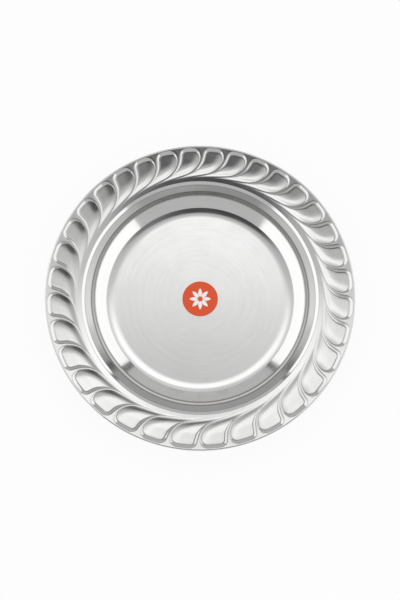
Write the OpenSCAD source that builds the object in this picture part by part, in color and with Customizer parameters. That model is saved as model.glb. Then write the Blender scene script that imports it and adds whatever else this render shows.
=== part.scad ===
// Round thali plate pressed from one sheet of stainless steel: a flat floor, a dished wall with a
// small step, and a sloping rim with swirled, comma-shaped flutes that ends in a rolled edge.
// A round paper label lies in the middle of the floor.
// Lengths are in millimetres. The plate stands on the flat of its floor at z = 0, +Z up, and its
// middle is the origin. Angles are counter-clockwise from +X, seen from above.

/* [Plate] */
// Diameter across the rolled edge
plate_d = 254; // [200:1:320]
// Thickness of the steel sheet
sheet_t = 0.6; // [0.4:0.05:0.8]
// Inside radius of the bends in the wall
bend_r = 0.6; // [0.5:0.05:0.8]

/* [Well] */
// Radial width of the curve that leads up from the flat floor
floor_curve_w = 8.4; // [6:0.1:11]
// Slope at the outer end of that curve, in degrees
floor_curve_angle = 15; // [10:1:20]
// Radial width of the wall below the step
wall_w = 8.2; // [7:0.1:10]
// Slope of the wall, in degrees
wall_angle = 40; // [32:1:48]

/* [Step and ledge] */
// Radial width of the step's steep face
step_face_w = 0.8; // [0.6:0.05:1]
// Slope of the step's steep face, in degrees
step_face_angle = 62; // [56:1:66]
// Radial width of the step's top
step_top_w = 2.5; // [1.4:0.05:3]
// Slope of the step's top, in degrees
step_top_angle = 9; // [4:1:12]
// Radial width of the ledge above the step
ledge_w = 5.4; // [4:0.1:8]
// Slope of the ledge, in degrees
ledge_angle = 19; // [15:1:24]
// Radial width of the short riser between the ledge and the rim
riser_w = 2.4; // [2.2:0.1:3.5]
// Slope of that riser, in degrees
riser_angle = 38; // [32:1:44]
// Inside radius of the bend at the top of the riser
rim_bend_r = 1.2; // [0.8:0.1:1.6]

/* [Rim] */
// Slope of the rim, in degrees
rim_angle = 10.5; // [6:0.5:15]
// Radial width of the plain band inside the flutes
plain_band_w = 2.5; // [2:0.1:5]
// Radial width of the fluted band
flute_band_w = 25.5; // [20:0.5:32]
// Radial width from the flutes' outer ends to the outside of the rolled edge
border_w = 1.6; // [1.6:0.1:4]
// Outside diameter of the rolled edge's bead
bead_d = 2; // [1.9:0.05:2.3]
// Angle through which the edge is rolled, in degrees
bead_turn = 235; // [180:5:240]

/* [Flutes] */
// Number of flutes
flute_count = 34; // [24:1:38]
// Depth of a flute below the rim
flute_depth = 1.25; // [0.8:0.05:1.6]
// Width of the ridge left between two flutes
ridge_w = 0.7; // [0.5:0.1:1.4]
// Width of the steep wall on a flute's leading side
steep_wall_w = 2.9; // [2:0.1:3.5]
// Width of the low wall on a flute's trailing side
low_wall_w = 1.7; // [1.2:0.1:2.4]
// Width over which a flute's floor is dished, from the trailing side's ridge
dish_w = 8; // [5:0.1:10]
// Width of the wall at a flute's outer end
end_wall_w = 3; // [2.4:0.1:4]
// Radius of a flute floor's trailing outer corner
floor_corner_r = 3.6; // [2:0.1:4]
// Radius of a flute floor's leading outer corner
lead_corner_r = 1.2; // [0.8:0.1:2]
// Angle that a ridge turns through on its way in to its tip, in degrees
swirl_turn = 13.8; // [8:0.2:16]
// Unevenness of the flutes' spacing, as a share of the mean spacing: 0 is even
spacing_drift_share = 0.109; // [0:0.001:0.15]
// Direction in which the flutes stand widest apart, in degrees
widest_at = 275; // [0:1:359]
// Angle that turns the whole pattern of flutes, in degrees
first_ridge_at = -6.6; // [-10:0.1:10]

/* [Label] */
// Diameter of the round paper label
label_d = 30; // [20:1:50]
// Thickness of the label
label_t = 0.12; // [0.1:0.01:0.2]

/* [Hidden] */

// Radii at which the profile changes, worked out from the outside in
plate_r = plate_d / 2;
flutes_out_r = plate_r - border_w;
flutes_in_r = flutes_out_r - flute_band_w;
rim_in_r = flutes_in_r - plain_band_w;
ledge_out_r = rim_in_r - riser_w;
ledge_in_r = ledge_out_r - ledge_w;
step_face_r = ledge_in_r - step_top_w;
wall_out_r = step_face_r - step_face_w;
wall_in_r = wall_out_r - wall_w;

// The floor's curve leaves room for the bend at the wall's foot, which needs less than half of
// its own radius. Its two tangents are equally long and meet at its corner.
foot_room = bend_r / 2;
floor_curve_tangent = (floor_curve_w - foot_room) / (1 + cos(floor_curve_angle));
floor_corner_at_r = wall_in_r - floor_curve_w + floor_curve_tangent;

// Heights of the upper skin at those radii
wall_in_z = sheet_t + (wall_in_r - floor_corner_at_r) * tan(floor_curve_angle);
wall_out_z = wall_in_z + wall_w * tan(wall_angle);
step_face_z = wall_out_z + step_face_w * tan(step_face_angle);
ledge_in_z = step_face_z + step_top_w * tan(step_top_angle);
ledge_out_z = ledge_in_z + ledge_w * tan(ledge_angle);
rim_in_z = ledge_out_z + riser_w * tan(riser_angle);
function rim_z(r) = rim_in_z + (r - rim_in_r) * tan(rim_angle);

// The fluted band reaches this far into the plain sheet on both sides, past the hollow of its
// longest facets, and is thinner there, so that its facets stay within the round sheet. The
// border's sheet begins a little outside the flutes' ends.
joint_lap = sheet_t;
joint_tuck = sheet_t / 8;
border_start_r = flutes_out_r + joint_lap / 3;

// Shape of a ridge: it falls away along 1 / (place + pole), from the border to its tip.
// Place is 0 at the fluted band's inner edge and 1 at its outer edge.
ridge_pole_share = 0.061;
ridge_tip_share = 0.066;
turn_stop_share = 0.03;

// A flute deepens from its tail to its full depth between these places, ever more gently, and its
// walls keep at least this share of their width
tail_place_share = 0.034;
full_depth_share = 0.54;
least_wall_share = 0.12;

// The low wall's depth, as a share of the full depth: next to nothing in the flute's inner part,
// and then more between these places
low_edge_inner_share = 0.1;
low_edge_outer_share = 0.45;
low_edge_start_share = 0.5;
low_edge_end_share = 0.85;
// Where the floor's facets meet, between its two edges
floor_knee_share = 0.2;

// Rows of the band between its tail and its end walls, crowded towards the tail
tail_rows = 8;
tail_rows_power = 1.5;
// How much of a round corner the outline follows before it meets the border
outline_stop_share = 0.95;
// One row in a flute floor's round corners, and the rows from its end wall's foot to its top
corner_row_share = 0.7;
end_wall_shares = [0, 0.5, 1];

// Steps in a bend and in the bead, in degrees, and facets of a full turn
bend_step = 5;
bead_step = 12;
turn_facets = 204;
label_facets = 96;

function limit(x, low, high) = min(high, max(low, x));
function mix(a, b, share) = a + (b - a) * share;
function smooth(x) = let (s = limit(x, 0, 1)) s * s * (3 - 2 * s);
function dir(a) = [cos(a), sin(a)];
function left_of(a) = [-sin(a), cos(a)];

// One bend of a sheet's upper skin. Each entry is a point and the slope of the sheet there.
function bend(at, slope_in, slope_out, inside_r) =
    let (
        turn = slope_out - slope_in,
        side = sign(turn),
        skin_r = turn > 0 ? inside_r : inside_r + sheet_t,
        start = at - skin_r * tan(abs(turn) / 2) * dir(slope_in),
        centre = start + side * skin_r * left_of(slope_in),
        steps = max(2, ceil(abs(turn) / bend_step))
    )
    [for (k = [0 : steps]) let (a = slope_in + turn * k / steps)
        [centre - side * skin_r * left_of(a), a]];

// Closed outline of a sheet with that upper skin
function sheet_outline(skin) = concat(
    [for (s = skin) s[0]],
    [for (k = [len(skin) - 1 : -1 : 0]) skin[k][0] - sheet_t * left_of(skin[k][1])]
);

// The floor's curve is one wide bend, and the rest of the well is straight between small bends
floor_curve_r = floor_curve_tangent / tan(floor_curve_angle / 2);
well_skin = concat(
    [[[0, sheet_t], 0]],
    bend([floor_corner_at_r, sheet_t], 0, floor_curve_angle, floor_curve_r),
    bend([wall_in_r, wall_in_z], floor_curve_angle, wall_angle, bend_r),
    bend([wall_out_r, wall_out_z], wall_angle, step_face_angle, bend_r),
    bend([step_face_r, step_face_z], step_face_angle, step_top_angle, bend_r / 2),
    bend([ledge_in_r, ledge_in_z], step_top_angle, ledge_angle, bend_r),
    bend([ledge_out_r, ledge_out_z], ledge_angle, riser_angle, bend_r),
    bend([rim_in_r, rim_in_z], riser_angle, rim_angle, rim_bend_r),
    [[[flutes_in_r, rim_z(flutes_in_r)], rim_angle]]
);

module well() {
    rotate_extrude($fn = turn_facets) polygon(sheet_outline(well_skin));
}

// The border runs on at the rim's slope and is then rolled down and under into a bead
bead_r = bead_d / 2;
bead_start_r = plate_r - bead_r - bead_r * sin(rim_angle);
bead_centre = [bead_start_r, rim_z(bead_start_r)] - bead_r * left_of(rim_angle);
bead_steps = ceil(bead_turn / bead_step);
edge_skin = concat(
    [[[border_start_r, rim_z(border_start_r)], rim_angle]],
    [for (k = [0 : bead_steps]) let (a = rim_angle - bead_turn * k / bead_steps)
        [bead_centre + bead_r * left_of(a), a]]
);

module rolled_edge() {
    rotate_extrude($fn = turn_facets) polygon(sheet_outline(edge_skin));
}

// Where each ridge meets the border: an even spacing that drifts a little round the plate
function ridge_at(i) =
    let (even = 360 * i / flute_count)
    first_ridge_at + even + spacing_drift_share * 180 / PI * sin(even - widest_at);

// Angle that a ridge has turned through at a place across the band
function falloff(place) = 1 / (place + ridge_pole_share) - 1 / (1 + ridge_pole_share);
function ridge_turn(place) =
    swirl_turn * falloff(max(place, turn_stop_share)) / falloff(ridge_tip_share);

// Angle between a ridge and the radius, at a place across the band
function ridge_lean(place) =
    let (
        p = max(place, turn_stop_share) + ridge_pole_share,
        turn_rate = swirl_turn / falloff(ridge_tip_share) / p / p * PI / 180,
        r = mix(flutes_in_r, flutes_out_r, place)
    )
    atan(r * turn_rate / flute_band_w);

// Depth along a flute, as a share, and how much of their width its two side walls have there
function rise(place) =
    limit((place - tail_place_share) / (full_depth_share - tail_place_share), 0, 1);
function depth_share(place) = 1 - pow(1 - rise(place), 2);
function wall_share(place) = max(rise(place), least_wall_share);

// The floor is dished across: shallow beside the low wall, and deepest at the steep wall's foot.
// Share of the depth, so far from the trailing side's ridge.
function dish_share(place, distance) =
    let (
        low_edge = mix(low_edge_inner_share, low_edge_outer_share,
            smooth((place - low_edge_start_share) / (low_edge_end_share - low_edge_start_share))),
        rest = 1 - limit(distance / dish_w, 0, 1)
    )
    1 - (1 - low_edge) * rest * rest;

// The flutes' outer corners are round: how far the outline and the floor's edge stand off their
// straight course, a distance e from the border, beside a wall of width w with corner radius c
function end_share(e, w, c) = max(0, end_wall_w + c - e) / (end_wall_w + c);
function outline_off(e, w, c) =
    (w + c) * (1 - sqrt(1 - pow(min(end_share(e, w, c), outline_stop_share), 2)));
function floor_off(e, w, c) =
    c - (w + c) * sqrt(max(0, pow(c / (w + c), 2) - pow(end_share(e, w, c), 2)));

// Distances across flute i, square to its ridges, at which its facets meet: the ridge, the
// outline, the floor's edge, the knee of the dished floor, and the same on the leading side. They
// shrink together where the tail is too narrow for them.
function across(i, place) =
    let (
        r = mix(flutes_in_r, flutes_out_r, place),
        e = flutes_out_r - r,
        room = (ridge_at(i + 1) - ridge_at(i)) * PI / 180 * r * cos(ridge_lean(place)),
        trailing = low_wall_w * wall_share(place),
        leading = steep_wall_w * wall_share(place),
        fit = min(1, room / (ridge_w + trailing + leading + ridge_w)),
        outline_1 = ridge_w / 2 + outline_off(e, trailing, floor_corner_r),
        foot_1 = ridge_w / 2 + trailing + floor_off(e, trailing, floor_corner_r),
        outline_2 = ridge_w / 2 + outline_off(e, leading, lead_corner_r),
        foot_2 = ridge_w / 2 + leading + floor_off(e, leading, lead_corner_r),
        foot_1_at = foot_1 * fit,
        foot_2_at = room - foot_2 * fit
    )
    [room, fit,
        [0, outline_1 * fit, foot_1_at, mix(foot_1_at, foot_2_at, floor_knee_share), foot_2_at,
            room - outline_2 * fit]];
// Which of those points are pressed down
across_pressed = [0, 0, 1, 1, 1, 0];
across_points = len(across_pressed);

// Rows of the band, as places across it. The first and last lie inside the plain sheet.
end_foot_place = 1 - end_wall_w / flute_band_w;
corner_place = end_foot_place - floor_corner_r / flute_band_w;
inner_rows = [for (j = [1 : tail_rows]) corner_place * pow(j / tail_rows, tail_rows_power)];
corner_row = mix(corner_place, end_foot_place, corner_row_share);
end_rows = [for (s = end_wall_shares) mix(end_foot_place, 1, s)];
row_places = concat([0], inner_rows, [corner_row], end_rows, [1]);
last_row = len(row_places) - 1;
function row_lap(j) = j == 0 ? -joint_lap : j == last_row ? joint_lap : 0;
function row_tuck(j) = j == 0 || j == last_row ? joint_tuck : 0;

// One point of the band's upper skin (lower = 0) or under skin (lower = 1)
function band_point(lower, j, i, k) =
    let (
        place = row_places[j],
        r = mix(flutes_in_r, flutes_out_r, place),
        cut = across(i, place),
        angle = mix(ridge_at(i), ridge_at(i + 1), cut[2][k] / cut[0]) + ridge_turn(place),
        end_wall = limit((flutes_out_r - r) / end_wall_w, 0, 1),
        dish = dish_share(place, (cut[2][k] / cut[1]) - ridge_w / 2),
        depth = flute_depth * depth_share(place) * cut[1] * end_wall * dish * across_pressed[k],
        skin = lower == 0 ? -row_tuck(j) : row_tuck(j) - sheet_t / cos(rim_angle),
        at_r = r + row_lap(j)
    )
    [at_r * cos(angle), at_r * sin(angle), rim_z(at_r) - depth + skin];

ring_points = flute_count * across_points;
rows = len(row_places);
function at(lower, j, m) = (lower * rows + j) * ring_points + m % ring_points;

// Two triangles for four corners, split along the shorter diagonal
function split(points, a, b, c, d) =
    norm(points[a] - points[c]) < norm(points[b] - points[d])
    ? [[a, b, c], [a, c, d]]
    : [[a, b, d], [b, c, d]];

// The fluted band is a closed ring of facets, sheared along the ridges
module flute_band() {
    points = [for (lower = [0, 1]) for (j = [0 : last_row])
        for (i = [0 : flute_count - 1]) for (k = [0 : across_points - 1])
            band_point(lower, j, i, k)];
    upper = [for (j = [0 : last_row - 1]) for (m = [0 : ring_points - 1])
        each split(points, at(0, j, m), at(0, j, m + 1), at(0, j + 1, m + 1), at(0, j + 1, m))];
    under = [for (j = [0 : last_row - 1]) for (m = [0 : ring_points - 1])
        each split(points, at(1, j, m), at(1, j + 1, m), at(1, j + 1, m + 1), at(1, j, m + 1))];
    inner_end = [for (m = [0 : ring_points - 1])
        each split(points, at(0, 0, m), at(1, 0, m), at(1, 0, m + 1), at(0, 0, m + 1))];
    outer_end = [for (m = [0 : ring_points - 1])
        each split(points, at(0, last_row, m), at(0, last_row, m + 1),
            at(1, last_row, m + 1), at(1, last_row, m))];
    polyhedron(points, concat(upper, under, inner_end, outer_end));
}

// The whole pressing is one piece of steel
module plate() {
    color("silver") union() {
        well();
        flute_band();
        rolled_edge();
    }
}

// Paper label stuck down in the middle of the floor
module label() {
    color("orangered") translate([0, 0, sheet_t])
        cylinder(d = label_d, h = label_t, $fn = label_facets);
}

plate();
label();
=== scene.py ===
import math

import bpy
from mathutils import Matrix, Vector


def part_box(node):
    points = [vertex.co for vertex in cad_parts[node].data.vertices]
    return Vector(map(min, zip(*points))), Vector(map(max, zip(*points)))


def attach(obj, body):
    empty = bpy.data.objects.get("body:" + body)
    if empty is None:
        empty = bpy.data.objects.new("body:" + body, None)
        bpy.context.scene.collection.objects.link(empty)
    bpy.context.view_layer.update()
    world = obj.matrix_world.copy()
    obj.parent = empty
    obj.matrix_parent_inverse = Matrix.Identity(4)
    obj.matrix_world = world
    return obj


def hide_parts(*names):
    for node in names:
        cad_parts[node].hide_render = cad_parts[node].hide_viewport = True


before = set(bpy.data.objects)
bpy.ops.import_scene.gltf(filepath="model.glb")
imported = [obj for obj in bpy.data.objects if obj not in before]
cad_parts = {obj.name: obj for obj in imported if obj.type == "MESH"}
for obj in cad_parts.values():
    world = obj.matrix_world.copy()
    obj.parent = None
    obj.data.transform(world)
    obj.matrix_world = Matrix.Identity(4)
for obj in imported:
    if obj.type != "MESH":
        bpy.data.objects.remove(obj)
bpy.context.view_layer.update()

MM = 0.001
TURN = 2 * math.pi

# Sizes of the pressing. The radii run from the outside in.
PLATE_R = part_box("plate")[1].x
SHEET_T = 0.6 * MM
BORDER_W = 1.6 * MM
FLUTE_BAND_W = 25.5 * MM
PLAIN_BAND_W = 2.5 * MM
RISER_W = 2.4 * MM
LEDGE_W = 5.4 * MM
STEP_TOP_W = 2.5 * MM
STEP_FACE_W = 0.8 * MM
WALL_W = 8.2 * MM
FLOOR_CURVE_W = 8.4 * MM
BEND_R = 0.6 * MM
RIM_BEND_R = 1.2 * MM
BEAD_R = 1 * MM

FLUTES_OUT_R = PLATE_R - BORDER_W
FLUTES_IN_R = FLUTES_OUT_R - FLUTE_BAND_W
RIM_IN_R = FLUTES_IN_R - PLAIN_BAND_W
LEDGE_OUT_R = RIM_IN_R - RISER_W
LEDGE_IN_R = LEDGE_OUT_R - LEDGE_W
STEP_FACE_R = LEDGE_IN_R - STEP_TOP_W
WALL_OUT_R = STEP_FACE_R - STEP_FACE_W
WALL_IN_R = WALL_OUT_R - WALL_W
FLOOR_END_R = WALL_IN_R - FLOOR_CURVE_W

# Slopes of the sheet, in radians
FLOOR_CURVE_SLOPE = math.radians(15)
WALL_SLOPE = math.radians(40)
STEP_FACE_SLOPE = math.radians(62)
STEP_TOP_SLOPE = math.radians(9)
LEDGE_SLOPE = math.radians(19)
RISER_SLOPE = math.radians(38)
RIM_SLOPE = math.radians(10.5)
BEAD_TURN = math.radians(235)

# The floor's curve leaves room for the bend at the wall's foot, and its two tangents are equal
FLOOR_CURVE_TANGENT = (FLOOR_CURVE_W - BEND_R / 2) / (1 + math.cos(FLOOR_CURVE_SLOPE))
FLOOR_CORNER_R = FLOOR_END_R + FLOOR_CURVE_TANGENT

# The flutes, by the names of the inputs of the tree that presses them
FLUTE_COUNT = 34
FLUTE = {
    "Flutes": float(FLUTE_COUNT),
    "Band inner radius": FLUTES_IN_R,
    "Band width": FLUTE_BAND_W,
    "Flute depth": 1.25 * MM,
    "Ridge width": 0.7 * MM,
    "Leading wall width": 3.6 * MM,
    "Trailing wall width": 1.7 * MM,
    "End wall width": 3.7 * MM,
    "Dish width": 8 * MM,
    "Trailing corner radius": 7.5 * MM,
    "Leading corner radius": 1.8 * MM,
    "Swirl turn": math.radians(13.8),
    "Spacing drift": 0.109,
    "Widest at": math.radians(275),
    "First ridge at": math.radians(-6.6),
    "Shoulder rounding": 0.3,
    "Foot rounding": 0.45,
    "End foot rounding": 0.8,
}

# The ridges turn as 1 / (place across the band + a pole), from their stop near the tails outwards
RIDGE_POLE_SHARE = 0.061
RIDGE_TIP_SHARE = 0.066
TURN_STOP_SHARE = 0.03

# Places across the band: where the tails begin and the full depth is reached, with how round that
# run starts and ends, and where the trailing wall begins and ends to grow steep
TAIL_PLACE_SHARE = 0.034
FULL_DEPTH_SHARE = 0.54
TAIL_ROUNDING = 0.02
DEPTH_ROUNDING = 0.85
STEEP_START_SHARE = 0.15
STEEP_END_SHARE = 0.95

# The least that both walls and the trailing one narrow to, as shares of their full width
LEAST_WALLS_SHARE = 0.12
LEAST_TRAILING_SHARE = 0.4

# Depth of the dished floor beside the trailing wall where that wall is steepest
DISH_EDGE_SHARE = 0.4

# How far round its outer corners the mesh follows a flute's outline
OUTLINE_STOP_SHARE = 0.95

# The dull line on a wall, which also carries painted shade: the share of the depth that it lies
# at, and its fading by the border
CREASE_DEPTH_SHARE = 0.16
CREASE_FADE_W = 2.4 * MM

# Creases that are rougher and painted darker as shade: radius, half width, and how dull and shaded
# they stay
DULL_SHADED_CREASES = (
    (STEP_FACE_R + 0.1 * MM, 1.0 * MM, 0.6),
    (STEP_FACE_R + STEP_TOP_W / 2, 1.9 * MM, 0.45),
    (LEDGE_IN_R + 0.1 * MM, 1.1 * MM, 0.7),
    (LEDGE_OUT_R, 0.5 * MM, 0.5),
)

# The label's print: its radius, and the flower on it
PRINT_R = 14.85 * MM
PETAL_COUNT = 8
PETAL_START = 1.8 * MM
PETAL_LENGTH = 7.2 * MM
PETAL_HALF_WIDTH_SHARE = 0.22
PETAL_SKEW = 0.8
PETAL_ROUNDNESS = 0.8
INK_T = 0.02 * MM

# Lanes of mesh along a flute: 0 to 1 is the half ridge, then the trailing wall, the floor, the
# leading wall and the next half ridge
LANES = (0, 0.55, 1, 1.2, 1.45, 1.7, 1.9, 2.03, 2.14, 2.27, 2.42, 2.6, 2.85,
         3, 3.12, 3.25, 3.4, 3.55, 3.7, 3.85, 4, 4.35)


class Field:
    """A number that changes over a surface, worked out by the math nodes of a tree."""

    def __init__(self, tree, socket):
        self.tree = tree
        self.socket = socket

    def math(self, operation, *others):
        node = self.tree.nodes.new("ShaderNodeMath")
        node.operation = operation
        for place, value in enumerate((self, *others)):
            feed(self.tree, node.inputs[place], value)
        return Field(self.tree, node.outputs[0])

    def constant(self, value):
        node = self.tree.nodes.new("ShaderNodeValue")
        node.outputs[0].default_value = value
        return Field(self.tree, node.outputs[0])

    def __add__(self, other):
        return self.math("ADD", other)

    def __radd__(self, other):
        return self.math("ADD", other)

    def __sub__(self, other):
        return self.math("SUBTRACT", other)

    def __rsub__(self, other):
        return self.constant(other).math("SUBTRACT", self)

    def __mul__(self, other):
        return self.math("MULTIPLY", other)

    def __rmul__(self, other):
        return self.math("MULTIPLY", other)

    def __truediv__(self, other):
        return self.math("DIVIDE", other)

    def __rtruediv__(self, other):
        return self.constant(other).math("DIVIDE", self)

    def least(self, other):
        return self.math("MINIMUM", other)

    def most(self, other):
        return self.math("MAXIMUM", other)

    def between(self, low, high):
        return self.most(low).least(high)

    def root(self):
        return self.math("SQRT")

    def sin(self):
        return self.math("SINE")

    def cos(self):
        return self.math("COSINE")


def feed(tree, socket, value):
    """Gives an input a field, another node's output or a plain value."""
    if isinstance(value, Field):
        value = value.socket
    if isinstance(value, bpy.types.NodeSocket):
        tree.links.new(value, socket)
    else:
        socket.default_value = value


def smooth(share):
    """An even S from 0 to 1."""
    s = share.between(0, 1)
    return s * s * (3 - 2 * s)


def ramp(value, start, end):
    """An even S that is 0 at the start and 1 at the end."""
    return smooth((value - start) / (end - start))


def mix(a, b, share):
    """The first value at share 0 and the second at share 1."""
    return share * (b - a) + a


def axis_distance(x, y):
    return (x * x + y * y).root()


def left_of(slope):
    return Vector((-math.sin(slope), math.cos(slope)))


def along(slope):
    return Vector((math.cos(slope), math.sin(slope)))


def bend(at, slope_in, slope_out, inside_r, step):
    """One rounded bend of the sheet's upper skin, as points of its section with their slopes."""
    turn = slope_out - slope_in
    side = math.copysign(1, turn)
    skin_r = inside_r if turn > 0 else inside_r + SHEET_T
    start = at - along(slope_in) * skin_r * math.tan(abs(turn) / 2)
    centre = start + left_of(slope_in) * side * skin_r
    steps = max(2, math.ceil(abs(turn) / step))
    slopes = [slope_in + turn * k / steps for k in range(steps + 1)]
    return [(centre - left_of(a) * side * skin_r, a) for a in slopes]


def corners():
    """The corners of the section's straight course, from the floor to the rim."""
    runs = [
        (FLOOR_CORNER_R, FLOOR_CURVE_SLOPE),
        (WALL_IN_R, WALL_SLOPE),
        (WALL_OUT_R, STEP_FACE_SLOPE),
        (STEP_FACE_R, STEP_TOP_SLOPE),
        (LEDGE_IN_R, LEDGE_SLOPE),
        (LEDGE_OUT_R, RISER_SLOPE),
        (RIM_IN_R, RIM_SLOPE),
    ]
    found = [Vector((runs[0][0], SHEET_T))]
    for (r, slope), (next_r, _) in zip(runs, runs[1:]):
        found.append(found[-1] + Vector((next_r - r, (next_r - r) * math.tan(slope))))
    slopes = [0] + [slope for _, slope in runs]
    return found, slopes


CORNERS, SLOPES = corners()


def rim_point(r):
    """A point of the rim's plain slope, before its flutes are pressed."""
    return CORNERS[-1] + Vector((r - RIM_IN_R, (r - RIM_IN_R) * math.tan(RIM_SLOPE)))


def skin(floor_rows, curve_step, bend_step, bead_step, places):
    """The sheet's skin from the middle of the floor to the end of the rolled edge. Each row is a
    point of the section, the slope there and its place across the fluted band."""
    curve_r = FLOOR_CURVE_TANGENT / math.tan(FLOOR_CURVE_SLOPE / 2)
    inside_radii = (curve_r, BEND_R, BEND_R, BEND_R / 2, BEND_R, BEND_R, RIM_BEND_R)
    rows = [(Vector((FLOOR_END_R * k / floor_rows, SHEET_T)), 0, 0) for k in range(floor_rows)]
    for k, (at, inside_r) in enumerate(zip(CORNERS, inside_radii)):
        step = curve_step if k == 0 else bend_step
        rows += [(p, a, 0) for p, a in bend(at, SLOPES[k], SLOPES[k + 1], inside_r, step)]
    for place in places:
        rows.append((rim_point(FLUTES_IN_R + FLUTE_BAND_W * place), RIM_SLOPE, place))
    start = rim_point(PLATE_R - BEAD_R - BEAD_R * math.sin(RIM_SLOPE))
    centre = start - left_of(RIM_SLOPE) * BEAD_R
    steps = math.ceil(BEAD_TURN / bead_step)
    for k in range(steps + 1):
        a = RIM_SLOPE - BEAD_TURN * k / steps
        rows.append((centre + left_of(a) * BEAD_R, a, 1))
    return rows


def band_places(inner_rows, crowding, corner_rows, wall_shares):
    """Rows across the fluted band, crowded at its tails, corners and end walls."""
    foot = 1 - FLUTE["End wall width"] / FLUTE_BAND_W
    corner = foot - FLUTE["Trailing corner radius"] / FLUTE_BAND_W
    inner = [corner * (k / inner_rows) ** crowding for k in range(inner_rows + 1)]
    turn = [corner + (foot - corner) * k / corner_rows for k in range(1, corner_rows)]
    return inner + turn + [foot + (1 - foot) * share for share in wall_shares]


def section():
    """Rows of the whole closed section: up over the upper skin, and back along the under skin."""
    upper = skin(
        floor_rows=3, curve_step=math.radians(2.2), bend_step=math.radians(6.5),
        bead_step=math.radians(24), places=band_places(
            inner_rows=17, crowding=1.35, corner_rows=7,
            wall_shares=(0, 0.13, 0.28, 0.45, 0.62, 0.77, 0.9, 1)))
    under = skin(
        floor_rows=1, curve_step=math.radians(8), bend_step=math.radians(20),
        bead_step=math.radians(48), places=band_places(
            inner_rows=8, crowding=1.35, corner_rows=3, wall_shares=(0, 0.5, 1)))
    rows = [(p.x, p.y, place) for p, _, place in upper]
    for p, slope, place in reversed(under):
        lower = p - left_of(slope) * SHEET_T
        rows.append((lower.x, lower.y, place))
    return rows


def turned_mesh(name, rows, columns):
    """A closed mesh of revolution from rows of (radius, height), with poles at both ends."""
    points = [(0, 0, rows[0][1])]
    for r, z in rows[1:-1]:
        for c in range(columns):
            a = TURN * c / columns
            points.append((r * math.cos(a), r * math.sin(a), z))
    points.append((0, 0, rows[-1][1]))
    last = len(points) - 1
    faces = []
    for c in range(columns):
        d = (c + 1) % columns
        faces.append((0, 1 + c, 1 + d))
        faces.append((last, last - columns + d, last - columns + c))
        for k in range(len(rows) - 3):
            low, high = 1 + k * columns, 1 + (k + 1) * columns
            faces.append((low + c, high + c, high + d, low + d))
    mesh = bpy.data.meshes.new(name)
    mesh.from_pydata(points, [], faces)
    mesh.shade_smooth()
    return mesh


def mark_points(mesh, name, values):
    """Stores one number a point, for the nodes to read."""
    mesh.attributes.new(name, "FLOAT", "POINT").data.foreach_set("value", values)


def new_object(name, data):
    obj = bpy.data.objects.new(name, data)
    bpy.context.scene.collection.objects.link(obj)
    return obj


def new_tree(name, kind, inputs, outputs):
    """A node tree with named inputs and outputs."""
    tree = bpy.data.node_groups.new(name, kind)
    for in_out, sockets in (("INPUT", inputs), ("OUTPUT", outputs)):
        for socket_name, socket_type in sockets:
            tree.interface.new_socket(name=socket_name, in_out=in_out, socket_type=socket_type)
    return tree, tree.nodes.new("NodeGroupInput"), tree.nodes.new("NodeGroupOutput")


def split_vector(tree, socket):
    node = tree.nodes.new("ShaderNodeSeparateXYZ")
    tree.links.new(socket, node.inputs[0])
    return [Field(tree, node.outputs[k]) for k in range(3)]


def join_vector(tree, x, y, z):
    node = tree.nodes.new("ShaderNodeCombineXYZ")
    for place, value in enumerate((x, y, z)):
        feed(tree, node.inputs[place], value)
    return node.outputs[0]


def end_tree(tree, geometry, material, outside):
    """Makes a tree's instances real, gives them their material and hands them out."""
    real = tree.nodes.new("GeometryNodeRealizeInstances")
    painted = tree.nodes.new("GeometryNodeSetMaterial")
    tree.links.new(geometry, real.inputs[0])
    tree.links.new(real.outputs[0], painted.inputs["Geometry"])
    tree.links.new(material, painted.inputs["Material"])
    tree.links.new(painted.outputs[0], outside.inputs["Geometry"])


def soft_ramp(t, round_start, round_end):
    """0 to 1 in a straight run with a rounded start and end, like a bent sheet."""
    def run(x, rounding):
        bent = x.between(0, rounding)
        return bent * bent / (2 * rounding) + (x - rounding).most(0)
    start = run(t, round_start)
    end = run(t - (1 - round_end), round_end)
    return (start - end) / (1 - (round_start + round_end) / 2)


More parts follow.
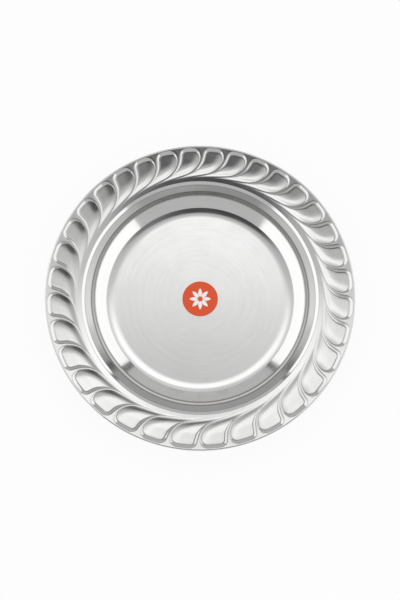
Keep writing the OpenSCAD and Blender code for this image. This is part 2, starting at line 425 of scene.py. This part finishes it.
def flute_tree():
    """Presses the swirled flutes into a turned rim. Its points carry the place across the band,
    the flute that they belong to and their lane across it."""
    sizes = [(name, "NodeSocketFloat") for name in FLUTE]
    tree, inside, outside = new_tree(
        "press_flutes", "GeometryNodeTree",
        [("Geometry", "NodeSocketGeometry"), *sizes, ("Steel", "NodeSocketMaterial")],
        [("Geometry", "NodeSocketGeometry")])
    size = {name: Field(tree, inside.outputs[name]) for name in FLUTE}

    def stored(name):
        node = tree.nodes.new("GeometryNodeInputNamedAttribute")
        node.data_type = "FLOAT"
        node.inputs["Name"].default_value = name
        return Field(tree, node.outputs["Attribute"])

    place, flute, lane = stored("place"), stored("flute"), stored("lane")
    r = size["Band inner radius"] + size["Band width"] * place
    to_border = size["Band width"] * (1 - place)

    def ridge_at(i):
        even = i * TURN / size["Flutes"]
        drift = size["Spacing drift"] * (even - size["Widest at"]).sin()
        return size["First ridge at"] + even + drift

    # How far the ridges have turned here, and how much they lean from the radius
    pole_place = place.most(TURN_STOP_SHARE) + RIDGE_POLE_SHARE
    outer_end = 1 / (1 + RIDGE_POLE_SHARE)
    tip = 1 / (RIDGE_TIP_SHARE + RIDGE_POLE_SHARE) - outer_end
    turn = size["Swirl turn"] * (1 / pole_place - outer_end) / tip
    lean = size["Swirl turn"] / tip / pole_place / pole_place * r / size["Band width"]
    cos_lean = 1 / (lean * lean + 1).root()

    # The walls keep their slope, so they narrow as the flute grows shallow
    rise = (place - TAIL_PLACE_SHARE) / (FULL_DEPTH_SHARE - TAIL_PLACE_SHARE)
    depth_share = soft_ramp(rise, TAIL_ROUNDING, DEPTH_ROUNDING)
    kept_w = rise.between(LEAST_WALLS_SHARE, 1)
    steep = (place - STEEP_START_SHARE) / (STEEP_END_SHARE - STEEP_START_SHARE)
    steep = steep.between(0, 1)
    leading_w = size["Leading wall width"] * kept_w
    trailing_w = size["Trailing wall width"] * kept_w * mix(LEAST_TRAILING_SHARE, 1, steep)

    ridge, next_ridge = ridge_at(flute), ridge_at(flute + 1)
    room = (next_ridge - ridge) * r * cos_lean
    fit = (room / (2 * size["Ridge width"] + trailing_w + leading_w)).least(1)
    half_ridge = size["Ridge width"] / 2

    def edges(wall_w, corner_r):
        """Where the flute's outline and its floor's edge lie, from the middle of the ridge."""
        reach = wall_w + corner_r
        end_reach = size["End wall width"] + corner_r
        end = (end_reach - to_border).most(0) / end_reach
        kept = end.least(OUTLINE_STOP_SHARE)
        outline = reach * (1 - (1 - kept * kept).root())
        inner = corner_r / reach
        foot = corner_r - reach * (inner * inner - end * end).most(0).root()
        return half_ridge + outline, half_ridge + wall_w + foot

    trailing_corner, leading_corner = size["Trailing corner radius"], size["Leading corner radius"]
    outline_1, foot_1 = edges(trailing_w, trailing_corner)
    outline_2, foot_2 = edges(leading_w, leading_corner)
    stops = [outline_1 * fit, foot_1 * fit, room - foot_2 * fit, room - outline_2 * fit, room]
    across = stops[0] * lane.between(0, 1)
    for k in range(1, len(stops)):
        across = across + (stops[k] - stops[k - 1]) * (lane - k).between(0, 1)

    def pressed(distance, wall_w, corner_r):
        """Share of the full depth, so far in from the middle of a ridge."""
        least_total, least_run = 1e-9, 1e-6
        reach = wall_w + corner_r
        end_reach = size["End wall width"] + corner_r
        side = (reach - (distance / fit - half_ridge)).most(0) / reach
        end = (end_reach - to_border).most(0) / end_reach
        side_2, end_2 = side * side, end * end
        total = (side_2 + end_2).most(least_total)
        run = (side_2 * wall_w / reach + end_2 * size["End wall width"] / end_reach) / total
        inwards = ((1 - total.root()) / run.most(least_run)).least(1)
        foot = mix(size["Foot rounding"], size["End foot rounding"], end_2 / total)
        return soft_ramp(inwards, size["Shoulder rounding"], foot)

    share = pressed(across, trailing_w, trailing_corner).least(
        pressed(room - across, leading_w, leading_corner))

    # The floor is dished: it is shallow beside the trailing wall and deepest at the leading one
    rest = 1 - ((across - half_ridge) / fit / size["Dish width"]).between(0, 1)
    dish = 1 - (1 - steep * DISH_EDGE_SHARE) * rest * rest
    depth = size["Flute depth"] * depth_share * fit * share.least(dish)

    # The polish is rougher along the edges of the walls, and these lines also carry painted shade
    edge_line = (CREASE_DEPTH_SHARE - share.least(1 - share)).math("ABSOLUTE")
    dull_shade_lines = smooth(1 - edge_line / CREASE_DEPTH_SHARE) * depth_share
    dull_shade_lines = dull_shade_lines * ramp(to_border, CREASE_FADE_W, 2 * CREASE_FADE_W)

    position = tree.nodes.new("GeometryNodeInputPosition")
    x, y, z = split_vector(tree, position.outputs[0])
    point_r = axis_distance(x, y)
    angle = ridge + (next_ridge - ridge) * across / room + turn
    pressed_point = join_vector(tree, point_r * angle.cos(), point_r * angle.sin(), z - depth)

    marked = tree.nodes.new("GeometryNodeStoreNamedAttribute")
    marked.inputs["Name"].default_value = "dull_shade_lines"
    moved = tree.nodes.new("GeometryNodeSetPosition")
    tree.links.new(inside.outputs["Geometry"], marked.inputs["Geometry"])
    tree.links.new(dull_shade_lines.socket, marked.inputs["Value"])
    tree.links.new(marked.outputs[0], moved.inputs["Geometry"])
    tree.links.new(pressed_point, moved.inputs["Position"])
    end_tree(tree, moved.outputs[0], inside.outputs["Steel"], outside)
    return tree


def add_nodes(obj, tree, values):
    """Runs a tree on an object, with its inputs set by their identifiers."""
    modifier = obj.modifiers.new(tree.name, "NODES")
    modifier.node_group = tree
    for item in tree.interface.items_tree:
        if item.item_type == "SOCKET" and item.in_out == "INPUT" and item.name in values:
            modifier[item.identifier] = values[item.name]


def settle(obj):
    """Replaces an object's mesh by the result of its modifiers, and removes them."""
    graph = bpy.context.evaluated_depsgraph_get()
    mesh = bpy.data.meshes.new_from_object(
        obj.evaluated_get(graph), preserve_all_data_layers=True, depsgraph=graph)
    obj.modifiers.clear()
    obj.data = mesh
    mesh.name = obj.name
    return obj


def steel_plate(steel):
    """The whole pressing: turned in section, then fluted."""
    columns = FLUTE_COUNT * len(LANES)
    rows = section()
    mesh = turned_mesh("steel_plate", [(r, z) for r, z, _ in rows], columns)
    ring_rows = rows[1:-1]
    marks = {
        "place": [place for _, _, place in ring_rows for _ in range(columns)],
        "flute": [float(c // len(LANES)) for c in range(columns)] * len(ring_rows),
        "lane": [float(LANES[c % len(LANES)]) for c in range(columns)] * len(ring_rows),
    }
    for name, values in marks.items():
        mark_points(mesh, name, [0.0, *values, 0.0])
    obj = new_object("steel_plate", mesh)
    add_nodes(obj, flute_tree(), {**FLUTE, "Steel": steel})
    normals = obj.modifiers.new("even_shading", "WEIGHTED_NORMAL")
    normals.keep_sharp = False
    return settle(obj)


def object_point(tree):
    """The point being shaded, in the object's own metres."""
    return tree.nodes.new("ShaderNodeTexCoord").outputs["Object"]


def noise(tree, vector, scale, detail, roughness):
    node = tree.nodes.new("ShaderNodeTexNoise")
    settings = {"Vector": vector, "Scale": scale, "Detail": detail, "Roughness": roughness}
    for name, value in settings.items():
        feed(tree, node.inputs[name], value)
    return Field(tree, node.outputs[0])


def turned_grain_group():
    """Fine lines that run round the plate's middle, as a lathe or a polishing mop leaves them."""
    least_r = 0.01 * MM
    tree, inside, outside = new_tree(
        "turned_grain", "ShaderNodeTree",
        [("Point", "NodeSocketVector"), ("Lines per metre", "NodeSocketFloat"),
         ("Breaks per turn", "NodeSocketFloat"), ("Contrast", "NodeSocketFloat")],
        [("Lines", "NodeSocketFloat")])
    lines, breaks, contrast = (
        Field(tree, inside.outputs[name])
        for name in ("Lines per metre", "Breaks per turn", "Contrast"))
    x, y, _ = split_vector(tree, inside.outputs["Point"])
    r = axis_distance(x, y).most(least_r)
    along_turn = join_vector(tree, r * lines, x / r * breaks, y / r * breaks)
    grey = noise(tree, along_turn, scale=1.0, detail=3.0, roughness=0.65)
    value = ((grey - 0.5) * contrast + 0.5).between(0, 1)
    tree.links.new(value.socket, outside.inputs["Lines"])
    return tree


def mottle_group():
    """A soft cloudiness between two values, for a finish that is not quite even."""
    tree, inside, outside = new_tree(
        "mottle", "ShaderNodeTree",
        [("Point", "NodeSocketVector"), ("Clouds per metre", "NodeSocketFloat"),
         ("Low", "NodeSocketFloat"), ("High", "NodeSocketFloat")],
        [("Value", "NodeSocketFloat")])
    scale, low, high = (
        Field(tree, inside.outputs[name]) for name in ("Clouds per metre", "Low", "High"))
    grey = noise(tree, inside.outputs["Point"], scale, detail=3.0, roughness=0.55)
    tree.links.new(mix(low, high, ramp(grey, 0.3, 0.7)).socket, outside.inputs["Value"])
    return tree


def place_group(tree, group, point, values):
    """One use of a shared effect, with its own values."""
    node = tree.nodes.new("ShaderNodeGroup")
    node.node_tree = group
    tree.links.new(point, node.inputs["Point"])
    for name, value in values.items():
        node.inputs[name].default_value = value
    return Field(tree, node.outputs[0])


def new_material(name):
    material = bpy.data.materials.new(name)
    material.use_nodes = True
    tree = material.node_tree
    return material, tree, tree.nodes["Principled BSDF"]


def bump(tree, shader, height, strength, distance):
    node = tree.nodes.new("ShaderNodeBump")
    node.inputs["Strength"].default_value = strength
    node.inputs["Distance"].default_value = distance
    tree.links.new(height.socket, node.inputs["Height"])
    tree.links.new(node.outputs[0], shader.inputs["Normal"])


def colour_mix(tree, share, first, second):
    """One colour at share 0 and another at share 1, each of them plain or linked."""
    node = tree.nodes.new("ShaderNodeMix")
    node.data_type = "RGBA"
    tree.links.new(share.socket, node.inputs[0])
    for place, colour in ((6, first), (7, second)):
        feed(tree, node.inputs[place], (*colour, 1) if isinstance(colour, tuple) else colour)
    return node.outputs[2]


def steel_material(grain, mottle):
    """Polished stainless steel. The floor is a soft satin with turned lines, the wall and the rim
    have more shine, and the creases are rougher, with painted shade darkening their colour; the
    rim's colour carries a little painted shade too."""
    wall_roughness = 0.1
    floor_adds, rim_adds, lines_add, dull_adds = 0.08, 0.03, 0.05, 0.25
    flute_line_dull_and_shade, rim_dull_and_shade = 0.8, 0.1
    rim_fade_w = 8.4 * MM
    # The third colour is painted shade, mixed in along the creases and a little over the rim
    darker, lighter, painted_shade_colour = (0.76, 0.76, 0.755), (0.82, 0.82, 0.815), (0.16, 0.148, 0.14)

    material, tree, shader = new_material("polished_steel")
    point = object_point(tree)
    x, y, _ = split_vector(tree, point)
    r = axis_distance(x, y)
    on_floor = 1 - ramp(r, FLOOR_END_R, FLOOR_END_R + FLOOR_CURVE_W / 2)
    on_rim = ramp(r, RIM_IN_R, RIM_IN_R + rim_fade_w)

    fine = place_group(tree, grain, point, {
        "Lines per metre": 1200, "Breaks per turn": 3, "Contrast": 1.8})
    broad = place_group(tree, grain, point, {
        "Lines per metre": 420, "Breaks per turn": 1.6, "Contrast": 1.6})
    clouds = place_group(tree, mottle, point, {
        "Clouds per metre": 38, "Low": -0.02, "High": 0.03})

    # The creases along the flutes were stored by their tree, and the others run all the way round.
    # All of them make the steel rougher and mix painted shade into its colour.
    stored_dull_shade_lines = tree.nodes.new("ShaderNodeAttribute")
    stored_dull_shade_lines.attribute_name = "dull_shade_lines"
    flute_dull_shade_lines = Field(tree, stored_dull_shade_lines.outputs["Fac"])
    dull_and_painted_shade = flute_dull_shade_lines * flute_line_dull_and_shade + on_rim * rim_dull_and_shade
    for crease_r, half_w, share in DULL_SHADED_CREASES:
        offset = (r - crease_r).math("ABSOLUTE")
        dull_and_painted_shade = (1 - ramp(offset, 0, half_w)) * share + dull_and_painted_shade

    roughness = wall_roughness + clouds + on_floor * floor_adds + on_rim * rim_adds
    roughness = roughness + (fine - 0.5) * lines_add + dull_and_painted_shade * dull_adds
    tree.links.new(roughness.socket, shader.inputs["Roughness"])
    # Painted shade: the creases and the rim are mixed towards the dark colour
    polished = colour_mix(tree, broad, darker, lighter)
    tree.links.new(colour_mix(tree, dull_and_painted_shade, polished, painted_shade_colour), shader.inputs["Base Color"])
    shader.inputs["Metallic"].default_value = 1
    bump(tree, shader, fine + broad * 2, 0.2, 0.01 * MM)
    return material


def paper_material(mottle):
    """Coated paper, with a print that stops short of the label's edge."""
    ink_darker, ink_lighter, bare = (0.67, 0.069, 0.008), (0.71, 0.078, 0.011), (0.86, 0.86, 0.85)
    print_edge_w = 0.05 * MM
    material, tree, shader = new_material("label_paper")
    point = object_point(tree)
    x, y, _ = split_vector(tree, point)
    wander = place_group(tree, mottle, point, {
        "Clouds per metre": 900, "Low": -0.03 * MM, "High": 0.03 * MM})
    inked = ((PRINT_R + wander - axis_distance(x, y)) / print_edge_w).between(0, 1)
    grain = place_group(tree, mottle, point, {
        "Clouds per metre": 2400, "Low": 0, "High": 1})
    ink = colour_mix(tree, grain, ink_darker, ink_lighter)
    tree.links.new(colour_mix(tree, inked, bare, ink), shader.inputs["Base Color"])
    rough = place_group(tree, mottle, point, {
        "Clouds per metre": 500, "Low": 0.42, "High": 0.5})
    tree.links.new(rough.socket, shader.inputs["Roughness"])
    bump(tree, shader, grain, 0.15, 0.02 * MM)
    return material


def white_ink_material(mottle):
    """The label's white print."""
    darker, lighter = (0.82, 0.82, 0.81), (0.87, 0.87, 0.86)
    material, tree, shader = new_material("white_ink")
    point = object_point(tree)
    grain = place_group(tree, mottle, point, {
        "Clouds per metre": 2000, "Low": 0, "High": 1})
    tree.links.new(colour_mix(tree, grain, darker, lighter), shader.inputs["Base Color"])
    rough = place_group(tree, mottle, point, {
        "Clouds per metre": 700, "Low": 0.38, "High": 0.46})
    tree.links.new(rough.socket, shader.inputs["Roughness"])
    bump(tree, shader, grain, 0.15, 0.01 * MM)
    return material


def paper_label(paper):
    """A round of paper with a soft cut edge, lying on the floor of the plate."""
    low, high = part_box("label")
    edge_r, thick = high.x, high.z - low.z
    middle_r = edge_r * 0.6
    columns = 128
    rows = [
        (0, high.z), (middle_r, high.z), (edge_r - thick, high.z), (edge_r - thick / 3, high.z),
        (edge_r - thick / 10, high.z - thick / 10), (edge_r, high.z - thick / 3),
        (edge_r, low.z + thick / 4), (edge_r - thick / 4, low.z), (middle_r, low.z), (0, low.z),
    ]
    mesh = turned_mesh("paper_label", rows, columns)
    mesh.materials.append(paper)
    return new_object("paper_label", mesh)


def petal_mesh():
    """One petal of the label's flower: pointed at both ends, with rounded sides, and widest a
    little inside its middle."""
    steps = 12
    upper = []
    for k in range(steps + 1):
        t = k / steps
        half = PETAL_HALF_WIDTH_SHARE * math.sin(math.pi * t ** PETAL_SKEW) ** PETAL_ROUNDNESS
        upper.append((t, half))
    lower = [(t, -half) for t, half in upper[-2:0:-1]]
    ring = upper + lower
    count = len(ring)
    points = [(PETAL_START + t * PETAL_LENGTH, half * PETAL_LENGTH, z)
              for z in (0, INK_T) for t, half in ring]
    sides = [(k, (k + 1) % count, count + (k + 1) % count, count + k) for k in range(count)]
    faces = [tuple(reversed(side)) for side in sides]
    faces += [tuple(range(count)), tuple(reversed(range(count, 2 * count)))]
    mesh = bpy.data.meshes.new("petal")
    mesh.from_pydata(points, [], faces)
    return mesh


def flower_tree(petal):
    """Sets petals round the middle of the label."""
    tree, inside, outside = new_tree(
        "petals_round", "GeometryNodeTree",
        [("Geometry", "NodeSocketGeometry"), ("Petals", "NodeSocketInt"),
         ("Ink", "NodeSocketMaterial")],
        [("Geometry", "NodeSocketGeometry")])
    middle = tree.nodes.new("GeometryNodePoints")
    middle.inputs["Position"].default_value = (0, 0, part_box("label")[1].z)
    tree.links.new(inside.outputs["Petals"], middle.inputs["Count"])
    index = Field(tree, tree.nodes.new("GeometryNodeInputIndex").outputs[0])
    turn = index * TURN / Field(tree, inside.outputs["Petals"])
    source = tree.nodes.new("GeometryNodeObjectInfo")
    source.inputs["Object"].default_value = petal
    spread = tree.nodes.new("GeometryNodeInstanceOnPoints")
    tree.links.new(middle.outputs[0], spread.inputs["Points"])
    tree.links.new(source.outputs["Geometry"], spread.inputs["Instance"])
    tree.links.new(join_vector(tree, 0.0, 0.0, turn), spread.inputs["Rotation"])
    end_tree(tree, spread.outputs[0], inside.outputs["Ink"], outside)
    return tree


def label_flower(ink):
    """A white flower of eight petals, printed on the label."""
    petal = new_object("petal", petal_mesh())
    obj = new_object("label_flower", bpy.data.meshes.new("label_flower"))
    add_nodes(obj, flower_tree(petal), {"Petals": PETAL_COUNT, "Ink": ink})
    settle(obj)
    bpy.data.objects.remove(petal)
    return obj


def studio_floor():
    """A pale sweep under the plate, white to the camera but for the plate's faint shadow. It is
    clear from below, so that the plate's underside can be seen."""
    reach = 4.0
    white_share = 0.9
    matt_grey = (0.85, 0.85, 0.85, 1)
    ends = [(-reach, -reach, 0), (reach, -reach, 0), (reach, reach, 0), (-reach, reach, 0)]
    mesh = bpy.data.meshes.new("studio_floor")
    mesh.from_pydata(ends, [], [(0, 1, 2, 3)])
    material = bpy.data.materials.new("studio_floor")
    material.use_nodes = True
    tree = material.node_tree
    tree.nodes.clear()

    path = tree.nodes.new("ShaderNodeLightPath")
    seen = Field(tree, path.outputs["Is Camera Ray"]).most(
        Field(tree, path.outputs["Is Glossy Ray"])).most(
        Field(tree, path.outputs["Is Transmission Ray"]))
    matt = tree.nodes.new("ShaderNodeBsdfDiffuse")
    matt.inputs["Color"].default_value = matt_grey
    white = tree.nodes.new("ShaderNodeEmission")
    clear = tree.nodes.new("ShaderNodeBsdfTransparent")
    below = tree.nodes.new("ShaderNodeNewGeometry").outputs["Backfacing"]

    def blended(share, first, second):
        node = tree.nodes.new("ShaderNodeMixShader")
        for place, socket in enumerate((share, first, second)):
            tree.links.new(socket, node.inputs[place])
        return node.outputs[0]

    upper_side = blended((seen * white_share).socket, matt.outputs[0], white.outputs[0])
    out = tree.nodes.new("ShaderNodeOutputMaterial")
    tree.links.new(blended(below, upper_side, clear.outputs[0]), out.inputs["Surface"])
    mesh.materials.append(material)
    obj = new_object("studio_floor", mesh)


def studio_world():
    """A soft studio that only reflections see: a bright panel over and behind the plate, the dark
    opening in front of it that the picture is taken through, a dim gap beyond the panel with a
    dark corner at each end, white panels upright at both sides, pale ones in front and behind, and
    dark posts where the sides meet the back. All other light is even and white."""
    world = bpy.data.worlds.new("studio")
    bpy.context.scene.world = world
    world.use_nodes = True
    tree = world.node_tree
    direction = tree.nodes.new("ShaderNodeTexCoord").outputs["Generated"]
    x, y, z = split_vector(tree, direction)

    # How far a direction leans to the right, to the back and in all, as shares of its height
    least_height, least_y = 0.04, 1e-3
    height = z.math("ABSOLUTE").most(least_height)
    side, back = x / height, y / height
    sideways = side.math("ABSOLUTE")
    lean = axis_distance(side, back)
    behind = ramp(y, 0, 0.05)
    ratio = x.math("ABSOLUTE") / y.math("ABSOLUTE").most(least_y)

    # Upright edges part the front and the back from the sides
    front_edge, back_edge_shift, edge_w = 1.02, 0.24, 0.08
    beside = ramp(ratio + back_edge_shift * behind, front_edge, front_edge + edge_w)

    # The ceiling: its least light, and gains of light that each grow from one lean to another
    front_light, sides_least = 0.34, 0.64
    gains = (
        (0.36, back, -0.35, 0.4),
        (0.16, sideways, 0.3, 0.6),
        (0.06, side, -0.08, 0.08),
        (0.26, back, -0.5, -0.8),
    )
    ceiling = front_light
    for gain, share, start, end in gains:
        ceiling = gain * ramp(share, start, end) + ceiling
    ceiling = mix(ceiling, ceiling.most(sides_least), beside * ramp(lean, 0.4, 0.55))

    def patch(at, radii, solid, fade, across=side):
        """1 inside a rounded patch of the ceiling, and 0 from its faded edge outwards."""
        u = (across - at[0]) / radii[0]
        v = (back - at[1]) / radii[1]
        u2, v2 = u * u, v * v
        return smooth((fade - (u2 * u2 + v2 * v2).root().root()) / (fade - solid))

    panel = patch(at=(0.0, 0.33), radii=(0.36, 0.17), solid=0.5, fade=1.2)
    opening = patch(at=(0.0, -0.165), radii=(0.32, 0.15), solid=0.8, fade=1.25)
    dark_corners = patch(at=(0.55, 0.53), radii=(0.15, 0.16), solid=0.6, fade=1.2, across=sideways)
    gap = ramp(lean, 0.68, 0.82) * ramp(back, 0.5, 0.6)
    walls = ramp(lean, 0.95, 1.25)
    post_at, post_half_w, post_solid_half_w = 0.8, 0.08, 0.03
    post = ramp((ratio - post_at).math("ABSOLUTE"), post_half_w, post_solid_half_w)
    post = post * behind * ramp(lean, 0.55, 0.7)

    panel_light, gap_light, end_wall_light, side_wall_gain = 0.56, 0.36, 0.55, 0.7
    opening_shade, opening_right_loss, corner_shade, post_shade = 0.84, 0.3, 0.3, 0.75
    opening = opening * (1 - opening_right_loss * ramp(side, 0.05, 0.2))
    light = (ceiling + panel * panel_light) * (1 - opening * opening_shade)
    light = light * (1 - dark_corners * corner_shade)
    light = mix(light, gap_light, gap)
    light = mix(light, end_wall_light + beside * side_wall_gain, walls)
    light = light * (1 - post * post_shade)

    path = tree.nodes.new("ShaderNodeLightPath")
    glossy = Field(tree, path.outputs["Is Glossy Ray"])
    background = tree.nodes["Background"]
    background.inputs["Color"].default_value = (1, 1, 1, 1)
    tree.links.new(mix(1, light, glossy).socket, background.inputs["Strength"])


def studio_camera():
    """Looks down at the plate from a little in front of it, as the photograph does."""
    tilt = math.radians(10.4)
    distance = 1.0
    picture_h_px, focal_px, sensor_mm = 600, 1224, 36
    aim = Vector((-0.12 * MM, -4.43 * MM, rim_point(PLATE_R).y))
    camera = new_object("camera", bpy.data.cameras.new("camera"))
    camera.data.sensor_width = sensor_mm
    camera.data.lens = focal_px * sensor_mm / picture_h_px
    back = Vector((0, -math.sin(tilt), math.cos(tilt)))
    camera.location = aim + back * distance
    camera.rotation_euler = (-back).to_track_quat("-Z", "Y").to_euler()
    bpy.context.scene.camera = camera


grain_lines = turned_grain_group()
cloudiness = mottle_group()

plate = steel_plate(steel_material(grain_lines, cloudiness))
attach(plate, "root")
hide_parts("plate")

label = paper_label(paper_material(cloudiness))
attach(label, "root")
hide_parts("label")

flower = label_flower(white_ink_material(cloudiness))
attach(flower, "root")
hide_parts("label")

studio_floor()
studio_world()
studio_camera()

bpy.context.scene.view_settings.view_transform = "Standard"
